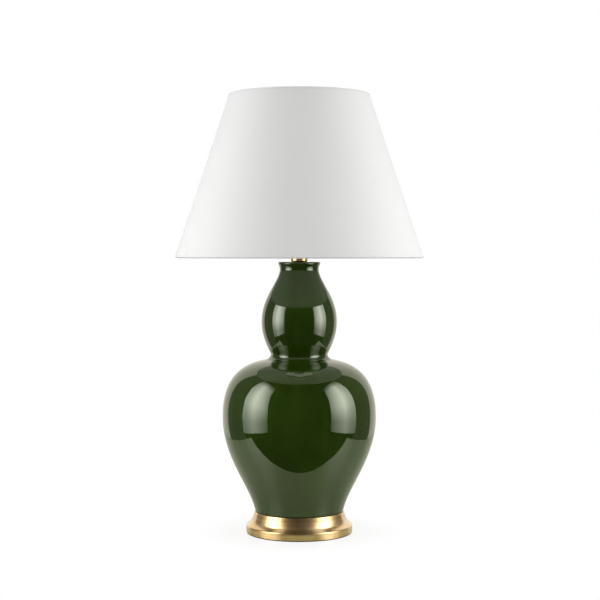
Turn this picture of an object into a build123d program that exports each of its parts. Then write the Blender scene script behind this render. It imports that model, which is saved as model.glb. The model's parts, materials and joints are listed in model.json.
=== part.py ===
"""Double gourd table lamp: a glazed ceramic jar on a spun brass plinth, under an empire shade.

Lengths are millimetres. The frame's origin is on the table, on the lamp's axis, and +Z is up.
The switch knob points to -Y (front), the supply inlet to +Y (back), and the harp lies in the
XZ plane. Each height below is stacked on the piece that carries it, so a changed size moves
everything above it.
"""
from build123d import *
from math import cos, radians, sin, sqrt, tan
import os

# ---- clearances -------------------------------------------------------------------------
RUNNING = 0.1       # a turning or sliding piece from what guides it
SEAT_GAP = 0.1      # a moving piece from the face that it rests on
THREAD_GAP = 0.03   # a nut or hub from the threaded rod, whose thread isn't cut
SLIP = 0.3          # a hole that a rod or stud only passes through

# ---- plinth and what it holds -----------------------------------------------------------
FELT_THICKNESS = 1.5
FELT_INSET = 0.8            # from the plinth's wall
SHEET = 1.5                 # spun brass sheet
PLINTH_HEIGHT = 33.3        # above the felt
BAND_HEIGHT = 8.5           # straight wall at the bottom
SHOULDER_HEIGHT = 16.2      # where the rounded shoulder turns into the cove
SHOULDER_STEP = 7.4         # the band stands out from the shoulder by this much
COVE_FLARE = 6.4            # the cove widens by this much on its way down
SEAT_MARGIN = 1.0           # brass left showing round the jar's foot
SHOULDER_SLOPE = 46.0       # degrees below the horizontal
COVE_LEAN = 14.0            # degrees off the vertical, at the seat
SEAT_EDGE = 0.7             # rounding of the seat's edge
BAND_FULLNESS, SHOULDER_ROUNDNESS = 0.60, 0.69
COVE_ROUNDNESS = 0.26

WEIGHT_MARGIN = 7.0         # ballast disc in from the jar's foot
WEIGHT_THICKNESS = 13.0
CLAMP_RADIUS, CLAMP_THICKNESS = 19.0, 2.0
LOCK_RADIUS, LOCK_THICKNESS, LOCK_SPLIT = 8.4, 1.6, 1.4
NUT_FLATS, NUT_THICKNESS = 14.3, 5.0

ROD_RADIUS, ROD_BORE = 5.1, 3.4     # lamp pipe
ROD_BELOW_NUT = 1.2
ROD_INTO_SOCKET = 8.0
BUSH_FLANGE, BUSH_LIP, BUSH_DEPTH, BUSH_BORE = 4.9, 1.0, 6.0, 2.6

INLET_HEIGHT = 7.3          # centre of the supply inlet, above the table
INLET_BORE = 3.1
GROMMET_WALL = 1.1
GROMMET_FLANGE, GROMMET_LIP = 5.3, 4.9      # radii outside and inside the wall
GROMMET_THICKNESS = 1.4

# ---- jar --------------------------------------------------------------------------------
FOOT_PAD_THICKNESS, FOOT_PAD_WIDTH, FOOT_PAD_INSET = 0.8, 11.0, 2.6
JAR_WALL, JAR_FLOOR, JAR_DECK = 6.0, 7.0, 7.0
JAR_FLOOR_HOLE, JAR_DECK_HOLE = 14.0, 6.2
FOOT_RADIUS, FOOT_ROUNDING, FOOT_LEAN = 72.4, 1.4, 13.0
BELLY_RADIUS, FOOT_TO_BELLY = 126.2, 155.8
WAIST_RADIUS, BELLY_TO_WAIST = 46.8, 100.7
BULB_RADIUS, WAIST_TO_BULB = 62.1, 53.6
NECK_RADIUS, BULB_TO_NECK = 32.2, 86.4
LIP_FLARE, NECK_TO_LIP, LIP_ROUNDING = 2.5, 9.4, 2.4
WAIST_COVE_WIDTH, WAIST_COVE_HEIGHT, SHOULDER_TILT = 9.5, 9.3, 10.8

# How full each stretch of the outline is: each handle's share of the stretch.
FOOT_FULLNESS, BELLY_UNDER = 0.28, 0.56
BELLY_OVER, SHOULDER_FULLNESS = 0.82, 0.36
WAIST_COVE_FULLNESS = 0.55
WAIST_OVER, BULB_UNDER = 0.084, 0.573
BULB_OVER, NECK_UNDER = 0.497, 0.245
NECK_OVER, LIP_UNDER = 0.46, 0.176

# ---- collar, saddle and harp ------------------------------------------------------------
COLLAR_PAD_RADIUS, COLLAR_PAD_THICKNESS = 12.4, 0.8
COLLAR_RADIUS, COLLAR_HEIGHT, COLLAR_ROUNDING = 14.0, 8.6, 1.3

SADDLE_THICKNESS, SADDLE_WIDTH = 1.8, 14.0
SADDLE_FLAT, SADDLE_RISE, SADDLE_BEND = 15.0, 10.0, 3.0
EAR_SPREAD = 30.0           # saddle's middle to the middle of an ear
EAR_SHOULDER = 15.0         # above the saddle's underside; a ferrule rests here
EAR_HEIGHT, EAR_WIDTH = 10.0, 5.6

HARP_WIRE = 2.0             # radius
HARP_FOOT_LIFT = 0.8
HARP_HEIGHT = 228.7         # foot to the seat of the shade
HARP_FLARE, HARP_FLARE_RADIUS = 24.0, 45.0
HARP_TURN_IN = 32.0         # degrees inwards where the side bow meets the top bend
HARP_EYE_RADIUS, HARP_EYE_THICKNESS = 7.5, 3.0
HARP_EYE_BITE = 1.7         # the wire runs this far into the eye
STUD_RADIUS, STUD_TIP, STUD_ABOVE_SEAT = 3.1, 0.6, 10.0
STUD_HEAD, STUD_HEAD_THICKNESS = 5.0, 1.5

FERRULE_WALL, FERRULE_HEIGHT = 0.85, 16.0
FERRULE_LIP, FERRULE_LIP_HEIGHT = 0.8, 1.4
FERRULE_FREE = 1.0          # past an ear's top when lifted, and below the harp's first bend

# ---- lampholder -------------------------------------------------------------------------
CAP_NECK_RADIUS, CAP_NECK_HEIGHT = 7.6, 5.5
CAP_RADIUS, CAP_HEIGHT, CAP_BOWL_HEIGHT, CAP_WALL = 17.3, 19.0, 14.0, 1.0
BOWL_THROAT, BOWL_SIDE = 0.35, 0.2      # shares of the bowl's height, for its curve
SET_SCREW_RADIUS, SET_SCREW_HEIGHT, SET_SCREW_OUT = 1.3, 3.0, 1.8
SCREW_SLOT_WIDTH, SCREW_SLOT_DEPTH = 0.6, 0.6
SHELL_LAP, SHELL_HEIGHT, SHELL_WALL = 3.2, 50.0, 0.7
BEAD_RADIUS, BEAD_HEIGHT = 0.7, 24.0
SLEEVE_WALL, SLEEVE_PROUD = 0.8, 2.3
BLOCK_LIFT, BLOCK_GAP, BLOCK_HEIGHT, BLOCK_EDGE = 4.0, 0.9, 23.0, 1.5
BLOCK_FLAT, BLOCK_FLAT_HEIGHT = 1.5, 15.0
TERMINAL_RADIUS, TERMINAL_HEAD = 2.5, 1.3
CONTACT_WALL, CONTACT_RUN = 0.6, 0.35
TONGUE_WIDTH, TONGUE_LENGTH, TONGUE_HEIGHT, TONGUE_THICKNESS = 4.0, 11.0, 2.4, 0.5
TONGUE_FOOT, TONGUE_CROWN = 1.8, 4.4
STEM_RADIUS, STEM_BITE, STEM_HEIGHT = 1.6, 8.0, 10.5
SLOT_MARGIN = 1.2
KNOB_RADIUS, KNOB_LENGTH, KNOB_TAPER, KNOB_CHAMFER = 5.8, 12.5, 0.7, 1.2
KNOB_GAP, KNOB_GRIP = 6.0, 9.0      # clear of the cap, and how deep it takes the stem
KNOB_FLUTES, FLUTE_RADIUS, FLUTE_DEPTH, FLUTE_START = 12, 1.1, 0.65, 2.0

# ---- bulb -------------------------------------------------------------------------------
GLASS_RADIUS, GLASS_WALL, GLASS_NECK_GAP = 30.0, 1.0, 0.1
BULB_LENGTH = 108.0
SCREW_CAP_RADIUS, SCREW_CAP_HEIGHT, SCREW_CAP_WALL = 13.0, 21.0, 0.5
TIP_RADIUS, TIP_HEIGHT, INSULATOR_HEIGHT = 4.6, 1.4, 2.6
GLASS_LAP, GLASS_NECK_HEIGHT = 3.0, 4.0
GLASS_THROAT, GLASS_SIDE = 0.38, 0.5    # shares of the flare's height, for its curve
CAP_EDGE, CAP_FLOOR, INSULATOR_INSET = 1.5, 2.0, 4.0
TIP_EDGE = 0.9

# ---- shade and finial -------------------------------------------------------------------
SHADE_TOP_RADIUS, SHADE_BOTTOM_RADIUS, SHADE_HEIGHT = 115.3, 204.2, 268.3
SPIDER_DROP = 22.1          # the hub's seat below the shade's top edge
FABRIC, LINER, PLY_GAP = 0.6, 0.8, 0.1
RING_WIRE = 1.6             # radius
HEM_THICKNESS, HEM_OUTSIDE, HEM_INSIDE, HEM_ROUNDING = 0.5, 2.6, 6.5, 1.2
HUB_RADIUS, HUB_THICKNESS = 14.0, 1.6
ARM_WIRE, ARM_FLAT, ARM_COUNT = 1.5, 16.0, 3
ARM_START, ARM_BEND = 8.8, 9.0      # arms lie on the hub from here outwards

FINIAL_BASE, FINIAL_BASE_HEIGHT, FINIAL_EDGE = 7.0, 2.2, 0.8
FINIAL_NECK, FINIAL_NECK_HEIGHT, FINIAL_BALL = 4.5, 5.4, 8.2
FINIAL_SINK = 1.3           # the ball's bottom runs into the neck by this much
FINIAL_BORE_SPARE = 1.2

# ---- heights, each stacked on the piece below -------------------------------------------
plinth_z = FELT_THICKNESS
seat_z = plinth_z + PLINTH_HEIGHT
foot_z = seat_z + FOOT_PAD_THICKNESS
belly_z = foot_z + FOOT_TO_BELLY
waist_z = belly_z + BELLY_TO_WAIST
bulb_z = waist_z + WAIST_TO_BULB
neck_z = bulb_z + BULB_TO_NECK
lip_z = neck_z + NECK_TO_LIP
jar_top_z = lip_z + LIP_ROUNDING
collar_z = jar_top_z + COLLAR_PAD_THICKNESS
saddle_z = collar_z + COLLAR_HEIGHT
cap_z = saddle_z + SADDLE_THICKNESS
cap_top_z = cap_z + CAP_HEIGHT
shell_z = cap_top_z - SHELL_LAP
shell_top_z = shell_z + SHELL_HEIGHT
ear_shoulder_z = saddle_z + EAR_SHOULDER
harp_foot_z = ear_shoulder_z + HARP_FOOT_LIFT
harp_seat_z = harp_foot_z + HARP_HEIGHT
hub_z = harp_seat_z + SEAT_GAP
shade_top_z = hub_z + SPIDER_DROP
shade_bottom_z = shade_top_z - SHADE_HEIGHT
finial_z = hub_z + HUB_THICKNESS + SEAT_GAP

weight_z = seat_z - SHEET - WEIGHT_THICKNESS
clamp_z = weight_z - CLAMP_THICKNESS
lock_z = clamp_z - LOCK_THICKNESS
nut_z = lock_z - NUT_THICKNESS
rod_z = nut_z - ROD_BELOW_NUT
rod_top_z = cap_z + ROD_INTO_SOCKET

# ---- radii that follow from their neighbours --------------------------------------------
seat_radius = FOOT_RADIUS + SEAT_MARGIN
shoulder_radius = seat_radius + COVE_FLARE
plinth_radius = shoulder_radius + SHOULDER_STEP
shell_radius = CAP_RADIUS - CAP_WALL - RUNNING
sleeve_radius = shell_radius - SHELL_WALL - RUNNING
block_radius = sleeve_radius - SLEEVE_WALL - BLOCK_GAP
contact_bore = SCREW_CAP_RADIUS + CONTACT_RUN
harp_foot_x = EAR_SPREAD + SADDLE_THICKNESS / 2 + RUNNING + HARP_WIRE
ferrule_x = (EAR_SPREAD - SADDLE_THICKNESS / 2 + harp_foot_x + HARP_WIRE) / 2
ear_corner = ferrule_x - (EAR_SPREAD - SADDLE_THICKNESS / 2)
ferrule_bore = sqrt(ear_corner**2 + (EAR_WIDTH / 2) ** 2) + RUNNING * 2

# ---- heights inside the lampholder ------------------------------------------------------
block_z = shell_z + BLOCK_LIFT
block_top_z = block_z + BLOCK_HEIGHT
switch_z = block_z + STEM_HEIGHT
tongue_top_z = block_top_z + CONTACT_WALL + TONGUE_HEIGHT
tip_z = tongue_top_z + SEAT_GAP
insulator_z = tip_z + TIP_HEIGHT
screw_cap_z = insulator_z + INSULATOR_HEIGHT
screw_cap_top_z = screw_cap_z + SCREW_CAP_HEIGHT
glass_top_z = tip_z + BULB_LENGTH

cone_angle = (SHADE_BOTTOM_RADIUS - SHADE_TOP_RADIUS) / SHADE_HEIGHT    # tangent
cone_cos = 1 / sqrt(1 + cone_angle**2)
cone_sin = cone_angle * cone_cos


def turned(outline):
    """A solid of revolution from a closed outline of (radius, height) points."""
    return revolve(Plane.XZ * make_face(outline), Axis.Z)


def disc(radius, low, high, bore=0.0):
    """A flat disc or washer between two heights."""
    solid = Pos(0, 0, low) * extrude(Circle(radius), high - low)
    if bore:
        solid -= Pos(0, 0, low) * extrude(Circle(bore), high - low)
    return solid


def tube(outer, inner, low, high):
    return disc(outer, low, high, bore=inner)


def bar(radius, length):
    """A round bar that stands on the origin."""
    return Cylinder(radius, length, align=(Align.CENTER, Align.CENTER, Align.MIN))


def rounded(solid, radius, height, size):
    """Rounds the circular edge of this radius at this height."""
    edges = [
        e for e in solid.edges().filter_by(GeomType.CIRCLE)
        if abs(e.radius - radius) < 0.01 and abs(e.center().Z - height) < 0.01
    ]
    return fillet(edges, size)


def mid(a, b, share):
    return a + (b - a) * share


# ---- plinth -----------------------------------------------------------------------------
def plinth_outline(inset):
    """Closed outline of the plinth, or of its inside at one sheet's thickness.

    From the bottom: straight band, rounded shoulder, cove, flat seat.
    """
    slope, lean = radians(SHOULDER_SLOPE), radians(COVE_LEAN)
    band = plinth_radius - inset
    band_top = plinth_z + BAND_HEIGHT
    shoulder_r = shoulder_radius - inset * sin(slope)
    shoulder_z = plinth_z + SHOULDER_HEIGHT - inset * cos(slope)
    seat_r = seat_radius - inset * cos(lean)
    top = seat_z - inset
    reach = (band - shoulder_r) * SHOULDER_ROUNDNESS
    cove = (top - shoulder_z) * COVE_ROUNDNESS
    return (
        Polyline((0, plinth_z), (band, plinth_z), (band, band_top))
        + Bezier(
            (band, band_top),
            (band, mid(band_top, shoulder_z, BAND_FULLNESS)),
            (shoulder_r + reach, shoulder_z - reach * tan(slope)),
            (shoulder_r, shoulder_z),
        )
        + Bezier(
            (shoulder_r, shoulder_z),
            (shoulder_r - cove * cos(slope), shoulder_z + cove * sin(slope)),
            (seat_r + cove * sin(lean), top - cove * cos(lean)),
            (seat_r, top),
        )
        + Polyline((seat_r, top), (0, top), (0, plinth_z))
    )


def plinth_layer(inner, outer):
    """The space between two offsets of the plinth's face, where outside is positive."""
    return turned(plinth_outline(-outer)) - turned(plinth_outline(-inner))


def inlet_rod(radius):
    """A bar along the supply inlet, from inside the plinth to well outside it."""
    return Pos(0, plinth_radius / 2, INLET_HEIGHT) * Rot(-90, 0, 0) * bar(radius, plinth_radius)


def brass_plinth():
    """Spun brass shell, open below, with the rod's hole and the supply inlet at the back."""
    shell = rounded(turned(plinth_outline(0.0)), seat_radius, seat_z, SEAT_EDGE)
    shell -= turned(plinth_outline(SHEET))
    shell -= disc(ROD_RADIUS + SLIP, plinth_z, seat_z)
    return shell - inlet_rod(INLET_BORE + GROMMET_WALL + THREAD_GAP)


def inlet_grommet():
    """Moulded bush in the inlet. Its flange and its lip lie along the wall that they grip."""
    inside = -SHEET - THREAD_GAP
    flange = inlet_rod(GROMMET_FLANGE) & plinth_layer(THREAD_GAP, GROMMET_THICKNESS)
    neck = inlet_rod(INLET_BORE + GROMMET_WALL) & plinth_layer(
        inside - GROMMET_THICKNESS / 2, GROMMET_THICKNESS / 2
    )
    lip = inlet_rod(GROMMET_LIP) & plinth_layer(inside - GROMMET_THICKNESS, inside)
    return flange + neck + lip - inlet_rod(INLET_BORE)


def lock_washer():
    ring = tube(LOCK_RADIUS, ROD_RADIUS + RUNNING, lock_z, clamp_z)
    return ring - Pos(LOCK_RADIUS, 0, lock_z + LOCK_THICKNESS / 2) * Box(
        LOCK_RADIUS * 2, LOCK_SPLIT, LOCK_THICKNESS * 2
    )


def rod_nut():
    nut = Pos(0, 0, nut_z) * extrude(RegularPolygon(NUT_FLATS / 2, 6, major_radius=False), NUT_THICKNESS)
    return nut - disc(ROD_RADIUS + THREAD_GAP, nut_z, lock_z)


def rod_bush(end_z, direction):
    """Plastic bush in an end of the rod, which keeps the lead off its edge."""
    flange_low, flange_high = sorted((end_z, end_z + direction * BUSH_LIP))
    stem_low, stem_high = sorted((end_z, end_z - direction * BUSH_DEPTH))
    bush = disc(BUSH_FLANGE, flange_low, flange_high) + disc(ROD_BORE - THREAD_GAP, stem_low, stem_high)
    return bush - disc(BUSH_BORE, min(flange_low, stem_low), max(flange_high, stem_high))


# ---- jar --------------------------------------------------------------------------------
def upright(low, high, low_handle, high_handle):
    """A curve between two (radius, height) stations that is vertical at both."""
    rise = high[1] - low[1]
    return Bezier(
        low,
        (low[0], low[1] + low_handle * rise),
        (high[0], high[1] - high_handle * rise),
        high,
    )


def gourd_curve(inset):
    """The jar's side from foot to neck, or its inside at the wall's thickness."""
    lean, tilt = radians(FOOT_LEAN), radians(SHOULDER_TILT)
    foot = (FOOT_RADIUS - inset / cos(lean), foot_z)
    belly = (BELLY_RADIUS - inset, belly_z)
    shoulder = (
        WAIST_RADIUS + WAIST_COVE_WIDTH - inset * sin(tilt),
        waist_z - WAIST_COVE_HEIGHT - inset * cos(tilt),
    )
    waist = (WAIST_RADIUS - inset, waist_z)
    bulb = (BULB_RADIUS - inset, bulb_z)
    neck = (NECK_RADIUS - inset, neck_z)

    start = FOOT_FULLNESS * FOOT_TO_BELLY
    across = SHOULDER_FULLNESS * (belly[0] - shoulder[0])
    cove = WAIST_COVE_FULLNESS
    return (
        Bezier(
            foot,
            (foot[0] + start * sin(lean), foot[1] + start * cos(lean)),
            (belly[0], mid(belly_z, foot_z, BELLY_UNDER)),
            belly,
        )
        + Bezier(
            belly,
            (belly[0], mid(belly_z, shoulder[1], BELLY_OVER)),
            (shoulder[0] + across * cos(tilt), shoulder[1] - across * sin(tilt)),
            shoulder,
        )
        + Bezier(
            shoulder,
            (
                shoulder[0] - cove * (shoulder[0] - waist[0]) * cos(tilt),
                shoulder[1] + cove * (shoulder[0] - waist[0]) * sin(tilt),
            ),
            (waist[0], mid(waist_z, shoulder[1], cove)),
            waist,
        )
        + upright(waist, bulb, WAIST_OVER, BULB_UNDER)
        + upright(bulb, neck, BULB_OVER, NECK_UNDER)
    )


def gourd_jar():
    """Slip-cast ceramic jar: two lobes, a flared lip and a closed deck drilled for the rod."""
    lip_radius = NECK_RADIUS + LIP_FLARE
    outline = (
        Line((0, foot_z), (FOOT_RADIUS, foot_z))
        + gourd_curve(0.0)
        + upright((NECK_RADIUS, neck_z), (lip_radius, lip_z), NECK_OVER, LIP_UNDER)
        + RadiusArc((lip_radius, lip_z), (lip_radius - LIP_ROUNDING, jar_top_z), -LIP_ROUNDING)
        + Polyline((lip_radius - LIP_ROUNDING, jar_top_z), (0, jar_top_z), (0, foot_z))
    )
    jar = rounded(turned(outline), FOOT_RADIUS, foot_z, FOOT_ROUNDING)
    inside_neck = NECK_RADIUS - JAR_WALL
    inside_foot = FOOT_RADIUS - JAR_WALL / cos(radians(FOOT_LEAN))
    cavity = turned(
        Line((0, foot_z), (inside_foot, foot_z))
        + gourd_curve(JAR_WALL)
        + Polyline((inside_neck, neck_z), (inside_neck, jar_top_z), (0, jar_top_z), (0, foot_z))
    )
    cavity &= disc(BELLY_RADIUS, foot_z + JAR_FLOOR, jar_top_z - JAR_DECK)
    jar -= cavity
    jar -= disc(JAR_FLOOR_HOLE, foot_z, foot_z + JAR_FLOOR)
    return jar - disc(JAR_DECK_HOLE, jar_top_z - JAR_DECK, jar_top_z)


# ---- collar, saddle and harp ------------------------------------------------------------
def neck_collar():
    collar = tube(COLLAR_RADIUS, ROD_RADIUS + SLIP, collar_z, saddle_z)
    collar = rounded(collar, COLLAR_RADIUS, collar_z, COLLAR_ROUNDING)
    return rounded(collar, COLLAR_RADIUS, saddle_z, COLLAR_ROUNDING)


def harp_saddle():
    """Pressed steel strip, bent up into two ears that narrow to tabs at their tops."""
    half = SADDLE_THICKNESS / 2
    middle_z = saddle_z + half
    top_z = ear_shoulder_z + EAR_HEIGHT
    strip = FilletPolyline(
        (-EAR_SPREAD, top_z),
        (-EAR_SPREAD, middle_z + SADDLE_RISE),
        (-SADDLE_FLAT, middle_z),
        (SADDLE_FLAT, middle_z),
        (EAR_SPREAD, middle_z + SADDLE_RISE),
        (EAR_SPREAD, top_z),
        radius=SADDLE_BEND,
    )
    path = Plane.XZ * strip
    profile = Plane(path @ 0, x_dir=(1, 0, 0), z_dir=path % 0) * Rectangle(SADDLE_THICKNESS, SADDLE_WIDTH)
    saddle = sweep(profile, path=path)
    for side in (-1, 1):
        for edge in (-1, 1):
            saddle -= Pos(
                side * EAR_SPREAD,
                edge * (EAR_WIDTH + SADDLE_WIDTH) / 2,
                ear_shoulder_z + EAR_HEIGHT,
            ) * Box(4 * SADDLE_THICKNESS, SADDLE_WIDTH, EAR_HEIGHT * 2)
    return saddle - disc(ROD_RADIUS + SLIP, saddle_z, cap_z)


def harp_side(side):
    """The wire's centre line on one side: straight foot, flare, long bow, top bend.

    The bow's and the bend's radii are the two that end the wire level with the eye.
    """
    flare, turn_in = radians(HARP_FLARE), radians(HARP_TURN_IN)
    straight_top = ear_shoulder_z + EAR_HEIGHT + FERRULE_HEIGHT + 2 * FERRULE_FREE
    bow_x = harp_foot_x + HARP_FLARE_RADIUS * (1 - cos(flare))
    bow_z = straight_top + HARP_FLARE_RADIUS * sin(flare)
    eye_z = harp_seat_z - HARP_EYE_THICKNESS / 2
    eye_x = HARP_EYE_RADIUS - HARP_EYE_BITE
    rise, run = eye_z - bow_z, bow_x - eye_x
    a, b = sin(flare) + sin(turn_in), 1 - sin(turn_in)
    c, d = cos(flare) - cos(turn_in), cos(turn_in)
    bow_radius = (rise * d - run * b) / (a * d - b * c)
    bend_radius = (run - bow_radius * c) / d
    line = Line((side * harp_foot_x, harp_foot_z), (side * harp_foot_x, straight_top))
    line += JernArc(line @ 1, (0, 1), HARP_FLARE_RADIUS, -side * HARP_FLARE)
    bow = JernArc(
        (side * bow_x, bow_z), (side * sin(flare), cos(flare)), bow_radius,
        side * (HARP_FLARE + HARP_TURN_IN),
    )
    bend = JernArc(bow @ 1, bow % 1, bend_radius, side * (90 - HARP_TURN_IN))
    return line + bow + bend


def harp_wire():
    """Bent wire bow whose top is pressed flat into an eye for the stud."""
    eye = disc(HARP_EYE_RADIUS, harp_seat_z - HARP_EYE_THICKNESS, harp_seat_z)
    for side in (-1, 1):
        foot = Pos(side * harp_foot_x, 0, harp_foot_z) * Circle(HARP_WIRE)
        eye += sweep(foot, path=Plane.XZ * harp_side(side))
    eye &= disc(HARP_HEIGHT, harp_foot_z, harp_seat_z)
    return eye - disc(STUD_RADIUS + THREAD_GAP, harp_seat_z - HARP_EYE_THICKNESS, harp_seat_z)


def harp_stud():
    under = harp_seat_z - HARP_EYE_THICKNESS
    stud = disc(STUD_RADIUS, under, harp_seat_z + STUD_ABOVE_SEAT)
    stud = rounded(stud, STUD_RADIUS, harp_seat_z + STUD_ABOVE_SEAT, STUD_TIP)
    return stud + disc(STUD_HEAD, under - STUD_HEAD_THICKNESS, under)


def harp_ferrule(side):
    """Sleeve that slides down over a foot of the harp and an ear of the saddle."""
    low = ear_shoulder_z + SEAT_GAP
    outer = ferrule_bore + FERRULE_WALL
    sleeve = disc(outer, low, low + FERRULE_HEIGHT)
    for z in (low, low + FERRULE_HEIGHT - FERRULE_LIP_HEIGHT):
        sleeve += disc(outer + FERRULE_LIP, z, z + FERRULE_LIP_HEIGHT)
    sleeve -= disc(ferrule_bore, low, low + FERRULE_HEIGHT)
    return Pos(side * ferrule_x, 0, 0) * sleeve


# ---- lampholder -------------------------------------------------------------------------
def cap_outline(inset):
    neck = CAP_NECK_RADIUS - inset
    rim = CAP_RADIUS - inset
    neck_top = cap_z + CAP_NECK_HEIGHT + inset
    bowl_top = cap_z + CAP_BOWL_HEIGHT
    return (
        Polyline((0, cap_z + 2 * inset), (neck, cap_z + 2 * inset), (neck, neck_top))
        + Bezier(
            (neck, neck_top),
            (neck, mid(neck_top, bowl_top, BOWL_THROAT)),
            (rim, mid(neck_top, bowl_top, BOWL_SIDE)),
            (rim, bowl_top),
        )
        + Polyline((rim, bowl_top), (rim, cap_top_z), (0, cap_top_z), (0, cap_z + 2 * inset))
    )


def socket_cap():
    cap = turned(cap_outline(0.0)) - turned(cap_outline(CAP_WALL))
    cap -= disc(ROD_RADIUS + THREAD_GAP, cap_z, cap_top_z)
    hole = Rot(-90, 0, 0) * bar(SET_SCREW_RADIUS + THREAD_GAP, 2 * CAP_NECK_RADIUS)
    return cap - Pos(0, 0, cap_z + SET_SCREW_HEIGHT) * hole


def slotted(radius, length):
    """A plain screw or screw head with a driver slot across its end."""
    slot = Box(4 * radius, SCREW_SLOT_WIDTH, 2 * SCREW_SLOT_DEPTH)
    return bar(radius, length) - Pos(0, 0, length) * slot


def set_screw():
    length = CAP_NECK_RADIUS + SET_SCREW_OUT - ROD_RADIUS - THREAD_GAP
    screw = slotted(SET_SCREW_RADIUS, length)
    return Pos(0, ROD_RADIUS + THREAD_GAP, cap_z + SET_SCREW_HEIGHT) * Rot(-90, 0, 0) * screw


def stem_slot():
    """The notch that lets the switch stem out of a sleeve, open at the sleeve's bottom."""
    half = STEM_RADIUS + SLOT_MARGIN
    drop = switch_z - shell_z
    notch = Pos(0, -CAP_RADIUS, switch_z - drop / 2) * Box(2 * half, CAP_RADIUS, drop)
    return notch + Pos(0, -CAP_RADIUS, switch_z) * Rot(90, 0, 0) * Cylinder(half, CAP_RADIUS)


def socket_shell():
    """Brass outer shell: one rolled bead near the bottom, the stem's notch in front."""
    bead = Pos(0, 0, cap_top_z + BEAD_HEIGHT) * Torus(shell_radius, BEAD_RADIUS)
    shell = disc(shell_radius, shell_z, shell_top_z) + bead
    return shell - disc(shell_radius - SHELL_WALL, shell_z, shell_top_z) - stem_slot()


def insulating_sleeve():
    inner = sleeve_radius - SLEEVE_WALL
    return tube(sleeve_radius, inner, shell_z, shell_top_z + SLEEVE_PROUD) - stem_slot()


def switch_block():
    """Moulded block that carries the switch, the terminals and the screw contact."""
    block = disc(block_radius, block_z, block_top_z)
    block = rounded(block, block_radius, block_z, BLOCK_EDGE)
    for side in (-1, 1):
        block -= Pos(side * block_radius, 0, block_z) * Box(
            2 * BLOCK_FLAT, 2 * block_radius, 2 * BLOCK_FLAT_HEIGHT
        )
    bore = bar(STEM_RADIUS + RUNNING, 2 * STEM_BITE)
    return block - Pos(0, -block_radius + STEM_BITE + SEAT_GAP, switch_z) * Rot(90, 0, 0) * bore


def terminal_screws():
    """Two terminal screws on the block's flats."""
    flat_x = block_radius - BLOCK_FLAT
    screws = []
    for side in (-1, 1):
        head = slotted(TERMINAL_RADIUS, TERMINAL_HEAD)
        screws.append(Pos(side * flat_x, 0, switch_z) * Rot(0, side * 90, 0) * head)
    return Compound(children=screws)


def screw_contact():
    """Thin metal cup that takes the bulb's cap. Its floor is holed for the tongue."""
    cup = disc(contact_bore + CONTACT_WALL, block_top_z, shell_top_z)
    cup -= disc(contact_bore, block_top_z + CONTACT_WALL, shell_top_z)
    return cup - disc(TONGUE_LENGTH / 2 + SLOT_MARGIN, block_top_z, block_top_z + CONTACT_WALL)


def centre_tongue():
    """Sprung brass tongue under the bulb's tip: a low arch on two feet."""
    half, crown, thin = TONGUE_LENGTH / 2, TONGUE_CROWN / 2, TONGUE_THICKNESS / 2
    low, high = block_top_z + thin, tongue_top_z - thin
    arch = FilletPolyline(
        (-half, low), (-half + TONGUE_FOOT, low), (-crown, high),
        (crown, high), (half - TONGUE_FOOT, low), (half, low),
        radius=TONGUE_THICKNESS,
    )
    return extrude(Plane.XZ * trace(arch, TONGUE_THICKNESS), TONGUE_WIDTH / 2, both=True)


def switch_stem():
    length = CAP_RADIUS + KNOB_GAP - block_radius + STEM_BITE + KNOB_GRIP
    return Pos(0, STEM_BITE - block_radius, switch_z) * Rot(90, 0, 0) * bar(STEM_RADIUS, length)


def switch_knob():
    """Fluted turn knob on the stem: it widens to its end, which is chamfered."""
    crown = KNOB_LENGTH - KNOB_CHAMFER
    knob = turned(
        Polyline(
            (0, 0), (KNOB_RADIUS - KNOB_TAPER, 0), (KNOB_RADIUS, crown),
            (KNOB_RADIUS - KNOB_CHAMFER, KNOB_LENGTH), (0, KNOB_LENGTH), (0, 0),
        )
    )
    flute = Pos(KNOB_RADIUS + FLUTE_RADIUS - FLUTE_DEPTH, 0, FLUTE_START) * bar(FLUTE_RADIUS, KNOB_LENGTH)
    knob -= [Rot(0, 0, 360 / KNOB_FLUTES * n) * flute for n in range(KNOB_FLUTES)]
    knob -= bar(STEM_RADIUS + THREAD_GAP, KNOB_GRIP + SEAT_GAP)
    return Pos(0, -CAP_RADIUS - KNOB_GAP, switch_z) * Rot(90, 0, 0) * knob


# ---- bulb -------------------------------------------------------------------------------
def bulb_outline(inset):
    neck = SCREW_CAP_RADIUS - SCREW_CAP_WALL - GLASS_NECK_GAP - inset
    wide = GLASS_RADIUS - inset
    low = screw_cap_top_z - GLASS_LAP + inset
    neck_top = screw_cap_top_z + GLASS_NECK_HEIGHT
    centre = glass_top_z - GLASS_RADIUS
    return (
        Polyline((0, low), (neck, low), (neck, neck_top))
        + upright((neck, neck_top), (wide, centre), GLASS_THROAT, GLASS_SIDE)
        + RadiusArc((wide, centre), (0, centre + wide), -wide)
        + Line((0, centre + wide), (0, low))
    )


def bulb_glass():
    return turned(bulb_outline(0.0)) - turned(bulb_outline(GLASS_WALL))


def bulb_cap():
    cap = disc(SCREW_CAP_RADIUS, screw_cap_z, screw_cap_top_z)
    cap = rounded(cap, SCREW_CAP_RADIUS, screw_cap_z, CAP_EDGE)
    cap -= disc(SCREW_CAP_RADIUS - SCREW_CAP_WALL, screw_cap_z + CAP_FLOOR, screw_cap_top_z)
    return cap - disc(SCREW_CAP_RADIUS - INSULATOR_INSET, screw_cap_z, screw_cap_z + CAP_FLOOR)


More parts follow.
